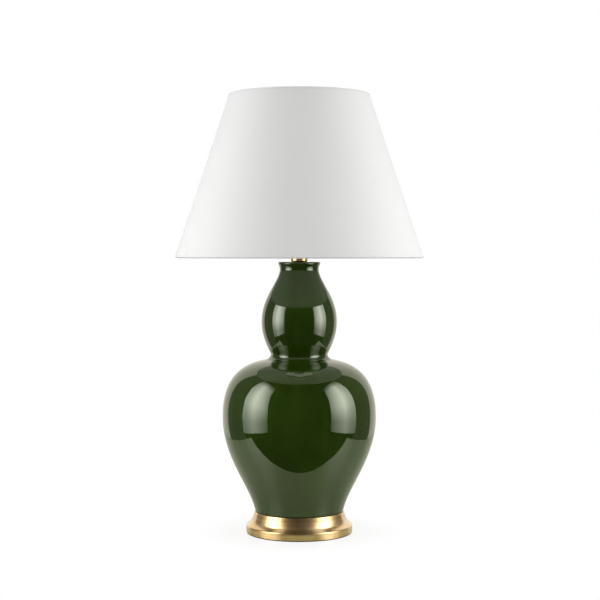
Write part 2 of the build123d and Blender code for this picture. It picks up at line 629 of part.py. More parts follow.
def bulb_insulator():
    """Cone of black glass that keeps the tip off the cap, with a plug inside the cap's floor."""
    top = SCREW_CAP_RADIUS - INSULATOR_INSET
    plug, plug_z = top - THREAD_GAP, screw_cap_z + CAP_FLOOR
    return turned(
        Polyline(
            (0, insulator_z), (TIP_RADIUS, insulator_z), (top, screw_cap_z),
            (plug, screw_cap_z), (plug, plug_z), (0, plug_z), (0, insulator_z),
        )
    )


def bulb_tip():
    return rounded(disc(TIP_RADIUS, tip_z, insulator_z), TIP_RADIUS, tip_z, TIP_EDGE)


# ---- shade ------------------------------------------------------------------------------
def on_cone(rim_radius, rim_z, up, out):
    """A point given from a rim of the shade: along its slope, and square to its face."""
    return (
        rim_radius - up * cone_sin + out * cone_cos,
        rim_z + up * cone_cos + out * cone_sin,
    )


def cone_sheet(outer, inner):
    """A conical sheet between two depths under the shade's face, held clear of both hems."""
    top = (SHADE_TOP_RADIUS, shade_top_z)
    bottom = (SHADE_BOTTOM_RADIUS, shade_bottom_z)
    end = HEM_ROUNDING + PLY_GAP
    corners = [
        on_cone(*bottom, end, -outer),
        on_cone(*top, -end, -outer),
        on_cone(*top, -end, -inner),
        on_cone(*bottom, end, -inner),
    ]
    return turned(Polyline(*corners, close=True))


liner_outer = FABRIC + PLY_GAP
liner_inner = liner_outer + LINER
ring_depth = liner_inner + PLY_GAP + RING_WIRE
hem_depth = ring_depth + RING_WIRE + PLY_GAP
ring_back = HEM_THICKNESS + PLY_GAP + RING_WIRE    # rim to the ring wire's centre


def shade_fabric():
    return cone_sheet(0.0, FABRIC)


def shade_liner():
    return cone_sheet(liner_outer, liner_inner)


def ring(rim_radius, rim_z, inwards):
    radius, z = on_cone(rim_radius, rim_z, inwards * ring_back, -ring_depth)
    return Pos(0, 0, z) * Torus(radius, RING_WIRE)


def hem(rim_radius, rim_z, inwards):
    """Folded strip over a rim: it covers the sheet's edge outside and the ring inside."""
    out = PLY_GAP / 2
    skin = out + HEM_THICKNESS
    back = hem_depth + HEM_THICKNESS

    def at(into, depth):
        return on_cone(rim_radius, rim_z, inwards * into, -depth)

    outer = FilletPolyline(
        at(HEM_OUTSIDE, -skin), at(0, -skin), at(0, back), at(HEM_INSIDE, back), radius=HEM_ROUNDING
    )
    inner_round = HEM_ROUNDING - HEM_THICKNESS
    inner = FilletPolyline(
        at(HEM_OUTSIDE, -out), at(HEM_THICKNESS, -out), at(HEM_THICKNESS, hem_depth),
        at(HEM_INSIDE, hem_depth), radius=inner_round,
    )
    ends = Line(outer @ 1, inner @ 1) + Line(inner @ 0, outer @ 0)
    return turned(outer + inner + ends)


def spider_hub():
    return tube(HUB_RADIUS, STUD_RADIUS + SLIP, hub_z, hub_z + HUB_THICKNESS)


def arm_wires(radius):
    """Round bars from the hub, bent up to meet the top ring's wire."""
    start = (ARM_START, hub_z + HUB_THICKNESS + ARM_WIRE)
    knee = (ARM_FLAT, start[1])
    ring_radius, ring_z = on_cone(SHADE_TOP_RADIUS, shade_top_z, -ring_back, -ring_depth)
    path = FilletPolyline(start, knee, (ring_radius, ring_z), radius=ARM_BEND)
    section = Plane((start[0], 0, start[1]), z_dir=(1, 0, 0)) * Circle(radius)
    bar = sweep(section, path=Plane.XZ * path)
    return [Rot(0, 0, 90 + 360 / ARM_COUNT * n) * bar for n in range(ARM_COUNT)]


def spider_arms():
    """Three wires on the hub, each coped to the top ring that it is welded to."""
    ring_radius, ring_z = on_cone(SHADE_TOP_RADIUS, shade_top_z, -ring_back, -ring_depth)
    cope = Pos(0, 0, ring_z) * Torus(ring_radius, RING_WIRE + THREAD_GAP)
    return Compound(children=[bar - cope for bar in arm_wires(ARM_WIRE)])


def top_hem():
    """The hem of the top rim, notched where the spider's arms come through."""
    strip = hem(SHADE_TOP_RADIUS, shade_top_z, -1)
    for bar in arm_wires(ARM_WIRE + SLIP):
        strip -= bar
    return strip


def finial():
    """Turned brass finial: flat base, short neck, ball."""
    base_top = finial_z + FINIAL_BASE_HEIGHT
    neck_top = base_top + FINIAL_NECK_HEIGHT
    body = rounded(disc(FINIAL_BASE, finial_z, base_top), FINIAL_BASE, base_top, FINIAL_EDGE)
    body += disc(FINIAL_NECK, base_top, neck_top)
    body += Pos(0, 0, neck_top - FINIAL_SINK + FINIAL_BALL) * Sphere(FINIAL_BALL)
    stud_top = harp_seat_z + STUD_ABOVE_SEAT
    return body - disc(STUD_RADIUS + RUNNING, finial_z, stud_top + FINIAL_BORE_SPARE)


PIECES = {
    "felt_pad": lambda: disc(plinth_radius - FELT_INSET, 0, plinth_z),
    "brass_plinth": brass_plinth,
    "inlet_grommet": inlet_grommet,
    "base_weight": lambda: tube(FOOT_RADIUS - WEIGHT_MARGIN, ROD_RADIUS + SLIP, weight_z, seat_z - SHEET),
    "clamp_washer": lambda: tube(CLAMP_RADIUS, ROD_RADIUS + SLIP, clamp_z, weight_z),
    "lock_washer": lock_washer,
    "rod_nut": rod_nut,
    "threaded_rod": lambda: tube(ROD_RADIUS, ROD_BORE, rod_z, rod_top_z),
    "rod_bush_lower": lambda: rod_bush(rod_z, -1),
    "rod_bush_upper": lambda: rod_bush(rod_top_z, 1),
    "foot_pad": lambda: tube(
        FOOT_RADIUS - FOOT_PAD_INSET, FOOT_RADIUS - FOOT_PAD_INSET - FOOT_PAD_WIDTH, seat_z, foot_z
    ),
    "gourd_jar": gourd_jar,
    "collar_pad": lambda: tube(COLLAR_PAD_RADIUS, ROD_RADIUS + SLIP, jar_top_z, collar_z),
    "neck_collar": neck_collar,
    "harp_saddle": harp_saddle,
    "harp_wire": harp_wire,
    "harp_stud": harp_stud,
    "ferrule_left": lambda: harp_ferrule(-1),
    "ferrule_right": lambda: harp_ferrule(1),
    "socket_cap": socket_cap,
    "set_screw": set_screw,
    "socket_shell": socket_shell,
    "insulating_sleeve": insulating_sleeve,
    "switch_block": switch_block,
    "terminal_screws": terminal_screws,
    "screw_contact": screw_contact,
    "centre_tongue": centre_tongue,
    "switch_stem": switch_stem,
    "switch_knob": switch_knob,
    "bulb_tip": bulb_tip,
    "bulb_insulator": bulb_insulator,
    "bulb_cap": bulb_cap,
    "bulb_glass": bulb_glass,
    "shade_fabric": shade_fabric,
    "shade_liner": shade_liner,
    "top_ring": lambda: ring(SHADE_TOP_RADIUS, shade_top_z, -1),
    "bottom_ring": lambda: ring(SHADE_BOTTOM_RADIUS, shade_bottom_z, 1),
    "top_hem": top_hem,
    "bottom_hem": lambda: hem(SHADE_BOTTOM_RADIUS, shade_bottom_z, 1),
    "spider_hub": spider_hub,
    "spider_arms": spider_arms,
    "finial": finial,
}

os.makedirs("parts", exist_ok=True)
for name, make in PIECES.items():
    export_step(make(), f"parts/{name}.step")
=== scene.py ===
# %% [markdown]
# # A double gourd table lamp
#
# The lamp is a green glazed gourd jar on a spun brass plinth, under a white tapered shade. The
# solid parts come packed from the CAD source. This script dresses them: it gives every part a
# finish made of nodes, remodels the parts whose finish needs a finer mesh or real cloth, and
# lights the lamp as for a catalogue picture. Lengths are metres, and +Z is up.

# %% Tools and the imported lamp
import json
from math import atan2, cos, hypot, pi, radians, sin

import bmesh
import bpy
from mathutils import Matrix, Vector, noise
from mathutils.geometry import interpolate_bezier


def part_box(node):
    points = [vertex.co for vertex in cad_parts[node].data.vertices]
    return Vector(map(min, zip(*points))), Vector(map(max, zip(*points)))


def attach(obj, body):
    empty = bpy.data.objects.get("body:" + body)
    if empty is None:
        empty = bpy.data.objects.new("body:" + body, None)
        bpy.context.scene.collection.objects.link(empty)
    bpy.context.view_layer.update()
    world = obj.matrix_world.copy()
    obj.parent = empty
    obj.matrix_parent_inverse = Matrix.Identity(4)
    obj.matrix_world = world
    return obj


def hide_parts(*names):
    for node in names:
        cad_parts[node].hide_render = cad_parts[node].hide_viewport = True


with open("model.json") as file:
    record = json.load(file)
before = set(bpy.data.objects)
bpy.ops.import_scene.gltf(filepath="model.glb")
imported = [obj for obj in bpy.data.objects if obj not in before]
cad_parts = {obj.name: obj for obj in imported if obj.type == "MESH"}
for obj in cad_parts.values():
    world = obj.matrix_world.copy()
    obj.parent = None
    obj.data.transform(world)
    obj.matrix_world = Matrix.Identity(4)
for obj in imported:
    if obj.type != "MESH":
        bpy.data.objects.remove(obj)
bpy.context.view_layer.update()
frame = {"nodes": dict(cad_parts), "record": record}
MM = 0.001
INCH = 25.4 * MM

# %% [markdown]
# ## Heights read from the frame
#
# Nothing is measured twice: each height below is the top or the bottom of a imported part. Only
# the shapes between those heights, which the frame can't tell, are written down further on.


# %% Heights
def low(node):
    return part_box(node)[0].z


def high(node):
    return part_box(node)[1].z


jar_foot_z, jar_top_z = low("gourd_jar"), high("gourd_jar")
print("jar:", round(jar_foot_z, 4), "to", round(jar_top_z, 4))
print("shade:", round(low("bottom_hem"), 4), "to", round(high("top_hem"), 4))

# %% [markdown]
# ## Writing shader maths as sums
#
# A node tree of maths is hard to read back. The class `Wire` holds one socket and the tree that
# it belongs to, and knows +, -, *, /, **, >, < and abs, so that `1 - mask * 0.3` adds its own Math
# nodes. `NodeTree` has one method, `node`, which adds any kind of node, and short names for the
# kinds that come back often. `Finish` is such a tree in a material.


# %% Sockets that can be added up
class Wire:
    """One socket of a node tree, to be used in sums."""

    def __init__(self, nodes, socket):
        self.nodes, self.socket = nodes, socket

    def maths(self, operation, *operands):
        inputs = dict(enumerate(operands))
        return self.nodes.node("ShaderNodeMath", {"operation": operation}, inputs)

    def __add__(self, other):
        return self.maths("ADD", self, other)

    def __sub__(self, other):
        return self.maths("SUBTRACT", self, other)

    def __rsub__(self, other):
        return self.maths("SUBTRACT", other, self)

    def __mul__(self, other):
        return self.maths("MULTIPLY", self, other)

    def __truediv__(self, other):
        return self.maths("DIVIDE", self, other)

    def __pow__(self, other):
        return self.maths("POWER", self, other)

    def __gt__(self, other):
        return self.maths("GREATER_THAN", self, other)

    def __lt__(self, other):
        return self.maths("LESS_THAN", self, other)

    def __abs__(self):
        return self.maths("ABSOLUTE", self)

    def sine(self):
        return self.maths("SINE", self)

    def root(self):
        return self.maths("SQRT", self)

    def at_least(self, other):
        return self.maths("MAXIMUM", self, other)

    __radd__, __rmul__ = __add__, __mul__


# %% A node tree under construction
MIX_SHARE, MIX_FIRST, MIX_SECOND, MIX_COLOUR = 0, 6, 7, 2


class NodeTree:
    """Nodes that are added by calls, in a material or in the world."""

    def __init__(self, tree):
        self.tree = tree

    def put(self, socket, value):
        """Feeds a socket from a wire, or sets it to a number or a colour."""
        if isinstance(value, Wire):
            self.tree.links.new(value.socket, socket)
        elif hasattr(value, "__len__") and socket.type == "RGBA":
            socket.default_value = (*value, 1.0)
        else:
            socket.default_value = value

    def node(self, kind, settings, inputs, out=0):
        """Adds a node of any kind, and gives back one of its outputs."""
        made = self.tree.nodes.new(kind)
        for name, value in settings.items():
            if name == "stops":
                self.set_stops(made.color_ramp, value)
            else:
                setattr(made, name, value)
        for name, value in inputs.items():
            self.put(made.inputs[name], value)
        return Wire(self, made.outputs[out])

    def set_stops(self, ramp, stops):
        """Gives a ramp its stops, each a place from 0 to 1 and a level of grey."""
        while len(ramp.elements) < len(stops):
            ramp.elements.new(0.5)
        for element, (place, grey) in zip(ramp.elements, stops):
            element.position = place
            element.color = (grey, grey, grey, 1.0)

    def place(self):
        """Where a point of the surface is, in metres, in the lamp's own frame."""
        return self.node("ShaderNodeTexCoord", {}, {}, "Object")

    def parts_of(self, vector):
        """The three numbers of a vector."""
        split = self.node("ShaderNodeSeparateXYZ", {}, {0: vector}).socket.node
        return [Wire(self, split.outputs[axis]) for axis in "XYZ"]

    def vector(self, x, y, z):
        return self.node("ShaderNodeCombineXYZ", {}, {0: x, 1: y, 2: z})

    def noise(self, lumps, detail=2.0, stretch=(1, 1, 1), at=None, distortion=0.0):
        """Soft noise with this many lumps to the metre, or to the unit of `at`."""
        at = at or self.place()
        if stretch != (1, 1, 1):
            at = self.node("ShaderNodeMapping", {}, {"Vector": at, "Scale": stretch})
        inputs = {"Vector": at, "Scale": lumps, "Detail": detail, "Distortion": distortion}
        return self.node("ShaderNodeTexNoise", {}, inputs, "Fac")

    def between(self, value, start, end):
        """0 where the value is below start, 1 where it is above end, smooth between."""
        settings = {"interpolation_type": "SMOOTHSTEP"}
        return self.node("ShaderNodeMapRange", settings, {"Value": value, 1: start, 2: end})

    def blend(self, share, first, second):
        """From the first colour to the second as share goes from 0 to 1."""
        inputs = {MIX_SHARE: share, MIX_FIRST: first, MIX_SECOND: second}
        return self.node("ShaderNodeMix", {"data_type": "RGBA"}, inputs, MIX_COLOUR)

    def ray(self, kind):
        """1 for the rays of one kind, such as Camera or Glossy, and 0 for all others."""
        return self.node("ShaderNodeLightPath", {}, {}, f"Is {kind} Ray")


# %% A material under construction
class Finish(NodeTree):
    """A material, whose surface is one Principled shader unless `show` says otherwise."""

    def __init__(self, name, **sockets):
        self.material = bpy.data.materials.new(name)
        self.material.use_nodes = True
        super().__init__(self.material.node_tree)
        self.shader = self.tree.nodes["Principled BSDF"]
        self.surface(**sockets)

    def surface(self, **sockets):
        """Sets or feeds the shader's sockets, named in words joined by _."""
        for words, value in sockets.items():
            self.put(self.shader.inputs[words.replace("_", " ")], value)

    def bump(self, height, distance):
        """Feeds the surface's normal from a height of 0 to 1 that stands for this distance."""
        inputs = {"Height": height, "Distance": distance, "Strength": 1.0}
        self.surface(Normal=self.node("ShaderNodeBump", {}, inputs))

    def show(self, shader):
        """Makes another shader the material's surface."""
        self.put(self.tree.nodes["Material Output"].inputs["Surface"], shader)


# %% [markdown]
# ## Glaze
#
# The jar is slip-cast stoneware under one coat of deep green, glossy glaze. Fired glaze is
# glass: almost black where nothing shines in it, a mirror where something does. Its green
# pools a little darker and lighter in soft clouds, breaks thin on the lip, and keeps a very
# faint waviness from the firing. A high index of refraction gives the strong shine of a lead
# glaze, with a trace of its green, and a low bump bends the reflections only slightly.

# %% Green glaze
POOLED_GREEN, CLEAR_GREEN = (0.0100, 0.0232, 0.0008), (0.0168, 0.0368, 0.0020)
SPECK_GREEN, THIN_GREEN = (0.020, 0.030, 0.010), (0.060, 0.085, 0.030)
LIP_START, LIP_END = jar_top_z - 4.2 * MM, jar_top_z - 0.6 * MM
WAVES = 0.22 * MM


def green_glaze():
    glaze = Finish("green_glaze", IOR=1.8, Specular_Tint=(0.94, 1.0, 0.82))
    clouds = glaze.noise(lumps=9, detail=3, distortion=0.4)
    runs = glaze.noise(lumps=60, stretch=(1, 1, 0.12))
    depth = glaze.between(clouds * 0.55 + runs * 0.45, 0.34, 0.68)
    green = glaze.blend(depth, POOLED_GREEN, CLEAR_GREEN)
    specks = glaze.between(glaze.noise(lumps=900, detail=1), 0.70, 0.76)
    green = glaze.blend(specks * 0.35, green, SPECK_GREEN)
    height = glaze.parts_of(glaze.place())[2]
    lip = glaze.between(height, LIP_START, LIP_END)
    thin = lip * 0.5 * glaze.between(glaze.noise(lumps=120, detail=3), 0.3, 0.7)
    green = glaze.blend(thin, green, THIN_GREEN)
    glaze.surface(Base_Color=green, Roughness=glaze.noise(lumps=26) * 0.035 + 0.022)
    glaze.bump(glaze.noise(lumps=32) * 0.75 + glaze.noise(lumps=210, detail=1) * 0.05, WAVES)
    return glaze.material


# %% [markdown]
# ## Brass
#
# The plinth is spun on a lathe from sheet, polished, and toned by age under its lacquer, which
# is the shader's coat. What tells spun brass from cast is the fine rings that the tool leaves
# all round it, so the bump and the roughness follow distance from the axis and height, not the
# place round the axis. The lampholder and the harp are plain bright plate, with no rings.

# %% Aged brass
RED_GOLD, PALE_GOLD, SPOT_BROWN = (0.70, 0.430, 0.155), (0.94, 0.664, 0.335), (0.38, 0.22, 0.08)
RINGS, BANDS = 2600, 330


def aged_brass():
    brass = Finish("aged_brass", Metallic=1.0, Coat_Weight=1.0, Coat_Roughness=0.06)
    x, y, z = brass.parts_of(brass.place())
    out = (x * x + y * y).root()
    rings = brass.noise(lumps=1, detail=3, at=brass.vector(out * RINGS, z * RINGS, 0.0))
    bands = brass.noise(lumps=1, at=brass.vector(out * BANDS, z * BANDS, 0.0))
    tone = brass.noise(lumps=34, detail=4, distortion=0.6) * 0.6 + bands * 0.4
    gold = brass.blend(brass.between(tone, 0.32, 0.66), RED_GOLD, PALE_GOLD)
    spots = brass.between(brass.noise(lumps=420), 0.68, 0.78)
    gold = brass.blend(spots * 0.25, gold, SPOT_BROWN)
    brass.surface(Base_Color=gold, Roughness=rings * 0.12 + tone * 0.16 + 0.16)
    brass.bump(rings * 0.6 + bands * 0.4, 0.05 * MM)
    return brass.material


# %% Bright brass
DEEP_BRIGHT, PALE_BRIGHT = (0.70, 0.50, 0.22), (0.86, 0.66, 0.34)


def bright_brass():
    brass = Finish("bright_brass", Metallic=1.0)
    tone = brass.noise(lumps=90, detail=3)
    gold = brass.blend(brass.between(tone, 0.3, 0.7), DEEP_BRIGHT, PALE_BRIGHT)
    brass.surface(Base_Color=gold, Roughness=tone * 0.16 + 0.12)
    brass.bump(brass.noise(lumps=700, stretch=(1, 1, 0.2)), 0.02 * MM)
    return brass.material


# %% [markdown]
# ## Cloth, lining and felt
#
# The shade is a fine white cotton lampshade cloth laminated to a stiff white sheet. Its weave is
# drawn on the cloth's own UV map, which runs in metres round the cone and up its slope: one
# warp thread over one weft thread and back, with slubs where a thread runs thick. The lining
# is smooth plastic, and the pad under the plinth is wool felt, which is all short fibres.

# %% Woven cloth
THREAD = 0.55 * MM
SLUBS_ALONG, SLUBS_ACROSS = 22, 900
SHADED_WHITE, LIT_WHITE = (0.605, 0.605, 0.605), (0.629, 0.629, 0.629)


def shade_cloth():
    cloth = Finish("shade_cloth", Roughness=0.85, Specular_IOR_Level=0.25)
    along, up, _ = cloth.parts_of(cloth.node("ShaderNodeTexCoord", {}, {}, "UV"))
    warp, weft = (along * (pi / THREAD)).sine(), (up * (pi / THREAD)).sine()
    over = warp * weft > 0.0
    weave = over * warp ** 2.0 + (1 - over) * weft ** 2.0
    flat_slubs = cloth.vector(along * SLUBS_ALONG, up * SLUBS_ACROSS, 0.0)
    steep_slubs = cloth.vector(along * SLUBS_ACROSS, up * SLUBS_ALONG, 5.0)
    slubs = cloth.noise(lumps=1, at=flat_slubs) * 0.6 + cloth.noise(lumps=1, at=steep_slubs) * 0.4
    tone = cloth.between(slubs, 0.30, 0.70) * 0.75 + weave * 0.25
    cloth.surface(Base_Color=cloth.blend(tone, SHADED_WHITE, LIT_WHITE))
    cloth.bump(weave * 0.5 + slubs * 0.5, 0.09 * MM)
    return cloth.material


# %% Lining and felt
DULL_LINING, CLEAN_LINING = (0.80, 0.80, 0.78), (0.86, 0.86, 0.85)
DARK_WOOL, PALE_WOOL = (0.006, 0.010, 0.006), (0.030, 0.044, 0.028)


def shade_lining():
    sheet = Finish("shade_lining", Specular_IOR_Level=0.4)
    mottle = sheet.noise(lumps=160, detail=3)
    sheet.surface(Base_Color=sheet.blend(mottle, DULL_LINING, CLEAN_LINING))
    sheet.surface(Roughness=mottle * 0.2 + 0.38)
    sheet.bump(sheet.noise(lumps=1300), 0.03 * MM)
    return sheet.material


def green_felt():
    felt = Finish("green_felt", Roughness=1.0, Specular_IOR_Level=0.1)
    fibres = felt.noise(lumps=2600, detail=4, distortion=2.0)
    tufts = felt.noise(lumps=240, detail=3)
    felt.surface(Base_Color=felt.blend(fibres * 0.6 + tufts * 0.4, DARK_WOOL, PALE_WOOL))
    felt.bump(fibres * 0.7 + tufts * 0.3, 0.4 * MM)
    return felt.material


# %% [markdown]
# ## The finishes inside the lamp
#
# The small parts are moulded, stamped or cast. Each kind has two tones of its colour, a grain
# of its own size, and a bump of that grain, so one function makes them all from a row of
# numbers: rubber and nylon are moulded smooth, iron is coarse from the sand, fibre is matt and
# flecked.

# %% The numbers of the plainer finishes
# dark tone, light tone, grains to the metre, roughness, relief in mm, metallic, stretch
PLAIN_FINISHES = {
    "black_rubber": ((0.012,) * 3, (0.030,) * 3, 500, 0.62, 0.05),
    "cast_iron": ((0.040, 0.038, 0.036), (0.130, 0.125, 0.120), 700, 0.68, 0.35, 0.35),
    "zinc_steel": ((0.50, 0.50, 0.48), (0.68, 0.68, 0.66), 900, 0.34, 0.03, 1.0),
    "white_nylon": ((0.76, 0.76, 0.72), (0.84, 0.84, 0.81), 420, 0.42, 0.02),
    "fibre_board": ((0.20, 0.17, 0.13), (0.38, 0.34, 0.28), 1100, 0.85, 0.08, 0.0, (1, 1, 0.3)),
    "black_bakelite": ((0.012, 0.010, 0.009), (0.030, 0.026, 0.023), 260, 0.24, 0.02),
    "cap_aluminium": ((0.70,) * 3, (0.84,) * 3, 800, 0.30, 0.02, 1.0, (1, 1, 4)),
    "solder_metal": ((0.42, 0.42, 0.43), (0.64, 0.64, 0.65), 900, 0.38, 0.08, 1.0),
    "black_glass": ((0.010, 0.010, 0.012), (0.022, 0.022, 0.026), 300, 0.18, 0.02),
}


def plain_finish(name, dark, light, grains, roughness, relief, metallic=0.0, stretch=(1, 1, 1)):
    made = Finish(name, Metallic=metallic)
    fine = made.noise(grains, 3, stretch=stretch)
    broad = made.noise(grains / 9)
    tone = made.between(fine * 0.6 + broad * 0.4, 0.3, 0.7)
    made.surface(Base_Color=made.blend(tone, dark, light))
    made.surface(Roughness=fine * 0.2 + (roughness - 0.1))
    made.bump(fine, relief * MM)
    return made.material


# %% Frosted glass
MILK_WHITE, FROST_WHITE = (0.86, 0.86, 0.84), (0.93, 0.93, 0.92)
GLOW_DEPTH = 6 * MM


def frosted_glass():
    glass = Finish("frosted_glass", IOR=1.5, Specular_IOR_Level=0.5)
    haze = glass.noise(lumps=60)
    glass.surface(Base_Color=glass.blend(haze, MILK_WHITE, FROST_WHITE))
    glass.surface(Roughness=glass.noise(lumps=1800) * 0.12 + 0.16)
    glass.surface(Subsurface_Weight=0.35, Subsurface_Radius=(GLOW_DEPTH,) * 3)
    glass.surface(Subsurface_Scale=1.0)
    glass.bump(haze, 0.04 * MM)
    return glass.material


# %% All finishes by the record's slot names
own_makers = (
    green_glaze, aged_brass, bright_brass, shade_cloth, shade_lining, green_felt, frosted_glass,
)
finishes = {maker.__name__: maker() for maker in own_makers}
for name, numbers in PLAIN_FINISHES.items():
    finishes[name] = plain_finish(name, *numbers)
slot_of = {part["node"]: part["material_slot"] for part in frame["record"]["subparts"]}
for node, part in frame["nodes"].items():
    part.data.materials.clear()
    part.data.materials.append(finishes[slot_of[node]])
print("finishes:", len(finishes), " on parts:", len(slot_of))

# %% [markdown]
# ## How a turned piece is made
#
# Jar, hems and cloth are all turned shapes: a line in the plane of radius and height, spun once
# round the axis. The line is drawn as a wire of edges, `bmesh.ops.spin` sweeps it, and
# `use_merge` closes the seam. Normals are made to agree afterwards, while the shell is still one
# wall thick, and `solidify` gives a wall to what is open.

# %% Spinning a line into a piece
SHARP_FROM = radians(38)
SAME_POINT = 1e-7


def spun(outline, steps, closed=False):
    """A bmesh swept once round the axis from (radius, height) points."""
    bm = bmesh.new()
    line = [bm.verts.new((r, 0.0, z)) for r, z in outline]
    pairs = list(zip(line, line[1:])) + ([(line[-1], line[0])] if closed else [])
    edges = [bm.edges.new(pair) for pair in pairs]
    bmesh.ops.spin(
        bm, geom=line + edges, cent=(0, 0, 0), axis=(0, 0, 1), angle=2 * pi,
        steps=steps, use_merge=True, dvec=(0, 0, 0), use_duplicate=False,
    )
    bmesh.ops.remove_doubles(bm, verts=bm.verts, dist=SAME_POINT)
    bmesh.ops.recalc_face_normals(bm, faces=bm.faces)
    return bm


# %% From a bmesh to a piece of the lamp
def as_object(bm, name, finish):
    """Makes a bmesh an object of the scene, with its finish."""
    mesh = bpy.data.meshes.new(name)
    bm.to_mesh(mesh)
    bm.free()
    mesh.materials.append(finish)
    made = bpy.data.objects.new(name, mesh)
    bpy.context.scene.collection.objects.link(made)
    return made


def finished(bm, name, slot, body):
    """Turns a bmesh into a piece of the lamp: it has a finish and rides on a body."""
    piece = as_object(bm, name, finishes[slot])
    piece.data.shade_smooth()
    piece.data.set_sharp_from_angle(angle=SHARP_FROM)
    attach(piece, body)
    print(name, len(piece.data.polygons), "faces")
    return piece


# %% [markdown]
# ## The jar
#
# A gourd's outline is a few stations where it stands upright - belly, waist, upper lobe, neck -
# with one curve between each two, and a small cove that leads from the shoulder into the waist.
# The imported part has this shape, but as flat facets whose edges would show in a mirror finish,
# so the jar is spun again from the same stations with many more steps. Handles are shares of
# each stretch, as in the drawing of the solid.

# %% The jar's stations
JAR_WALL = 6.0 * MM
FOOT_RADIUS, FOOT_ROUNDING, FOOT_LEAN = 72.4 * MM, 1.4 * MM, radians(13.0)
BELLY_RADIUS, FOOT_TO_BELLY = 126.2 * MM, 155.8 * MM
WAIST_RADIUS, BELLY_TO_WAIST = 46.8 * MM, 100.7 * MM
BULB_RADIUS, WAIST_TO_BULB = 62.1 * MM, 53.6 * MM
NECK_RADIUS, BULB_TO_NECK = 32.2 * MM, 86.4 * MM
LIP_FLARE, NECK_TO_LIP, LIP_ROUNDING = 2.5 * MM, 9.4 * MM, 2.4 * MM
COVE_WIDTH, COVE_HEIGHT, SHOULDER_TILT = 9.5 * MM, 9.3 * MM, radians(10.8)
FOOT_BORE, DECK_BORE = 14.0 * MM, 6.2 * MM
FOOT_FULLNESS, BELLY_UNDER = 0.28, 0.56
BELLY_OVER, SHOULDER_FULLNESS = 0.82, 0.36
COVE_FULLNESS = 0.55
WAIST_OVER, BULB_UNDER = 0.084, 0.573
BULB_OVER, NECK_UNDER = 0.497, 0.245
NECK_OVER, LIP_UNDER = 0.46, 0.176

belly_z = jar_foot_z + FOOT_TO_BELLY
waist_z = belly_z + BELLY_TO_WAIST
bulb_z = waist_z + WAIST_TO_BULB
neck_z = bulb_z + BULB_TO_NECK
lip_z = neck_z + NECK_TO_LIP
print("belly, waist, upper lobe, neck:", [round(z, 4) for z in (belly_z, waist_z, bulb_z, neck_z)])


# %% Curves in the plane of radius and height
def curve(start, start_handle, end_handle, end, steps):
    """Points along a Bezier curve."""
    corners = [Vector((*point, 0.0)) for point in (start, start_handle, end_handle, end)]
    return [(p.x, p.y) for p in interpolate_bezier(*corners, steps + 1)]


def upright(start, end, start_share, end_share, steps):
    """A curve that stands upright at both ends."""
    rise = end[1] - start[1]
    leave = (start[0], start[1] + start_share * rise)
    arrive = (end[0], end[1] - end_share * rise)
    return curve(start, leave, arrive, end, steps)


def quarter_turn(centre, radius, start, end, steps):
    """Points of a round edge, between two angles."""
    angles = [start + (end - start) * n / steps for n in range(steps + 1)]
    return [(centre[0] + radius * cos(a), centre[1] + radius * sin(a)) for a in angles]


# %% The jar's outline
SIDE_STEPS, OVER_STEPS, COVE_STEPS, WAIST_STEPS, LOBE_STEPS, NECK_STEPS = 60, 72, 20, 40, 48, 10
FOOT_STEPS, LIP_STEPS, JAR_STEPS = 6, 8, 168


def belly_outline():
    """From the foot's round edge over the belly, and through the cove to the waist."""
    belly, waist = (BELLY_RADIUS, belly_z), (WAIST_RADIUS, waist_z)
    shoulder = (WAIST_RADIUS + COVE_WIDTH, waist_z - COVE_HEIGHT)
    out, up = sin(FOOT_LEAN), cos(FOOT_LEAN)
    down, flat = sin(SHOULDER_TILT), cos(SHOULDER_TILT)
    start = FOOT_FULLNESS * FOOT_TO_BELLY
    along = SHOULDER_FULLNESS * (BELLY_RADIUS - shoulder[0])
    cove = COVE_FULLNESS * COVE_WIDTH
    side = curve(
        (FOOT_RADIUS + out * FOOT_ROUNDING, jar_foot_z + up * FOOT_ROUNDING),
        (FOOT_RADIUS + start * out, jar_foot_z + start * up),
        (BELLY_RADIUS, jar_foot_z + FOOT_TO_BELLY * BELLY_UNDER), belly, SIDE_STEPS,
    )
    over = curve(
        belly, (BELLY_RADIUS, belly_z + BELLY_OVER * (shoulder[1] - belly_z)),
        (shoulder[0] + along * flat, shoulder[1] - along * down), shoulder, OVER_STEPS,
    )
    hollow = curve(
        shoulder, (shoulder[0] - cove * flat, shoulder[1] + cove * down),
        (WAIST_RADIUS, shoulder[1] + COVE_FULLNESS * COVE_HEIGHT), waist, COVE_STEPS,
    )
    return side + over[1:] + hollow[1:]


def gourd_outline():
    """The outside from the hole in the foot to the hole in the deck under the collar."""
    waist, bulb, neck = (WAIST_RADIUS, waist_z), (BULB_RADIUS, bulb_z), (NECK_RADIUS, neck_z)
    lip = (NECK_RADIUS + LIP_FLARE, lip_z)
    foot_edge = (FOOT_RADIUS - FOOT_ROUNDING, jar_foot_z + FOOT_ROUNDING)
    lip_edge = (lip[0] - LIP_ROUNDING, lip_z)
    line = [(FOOT_BORE, jar_foot_z)]
    line += quarter_turn(foot_edge, FOOT_ROUNDING, -pi / 2, -FOOT_LEAN, FOOT_STEPS)
    line += belly_outline()[1:]
    line += upright(waist, bulb, WAIST_OVER, BULB_UNDER, WAIST_STEPS)[1:]
    line += upright(bulb, neck, BULB_OVER, NECK_UNDER, LOBE_STEPS)[1:]
    line += upright(neck, lip, NECK_OVER, LIP_UNDER, NECK_STEPS)[1:]
    line += quarter_turn(lip_edge, LIP_ROUNDING, 0, pi / 2, LIP_STEPS)[1:]
    return line + [(DECK_BORE, jar_top_z)]


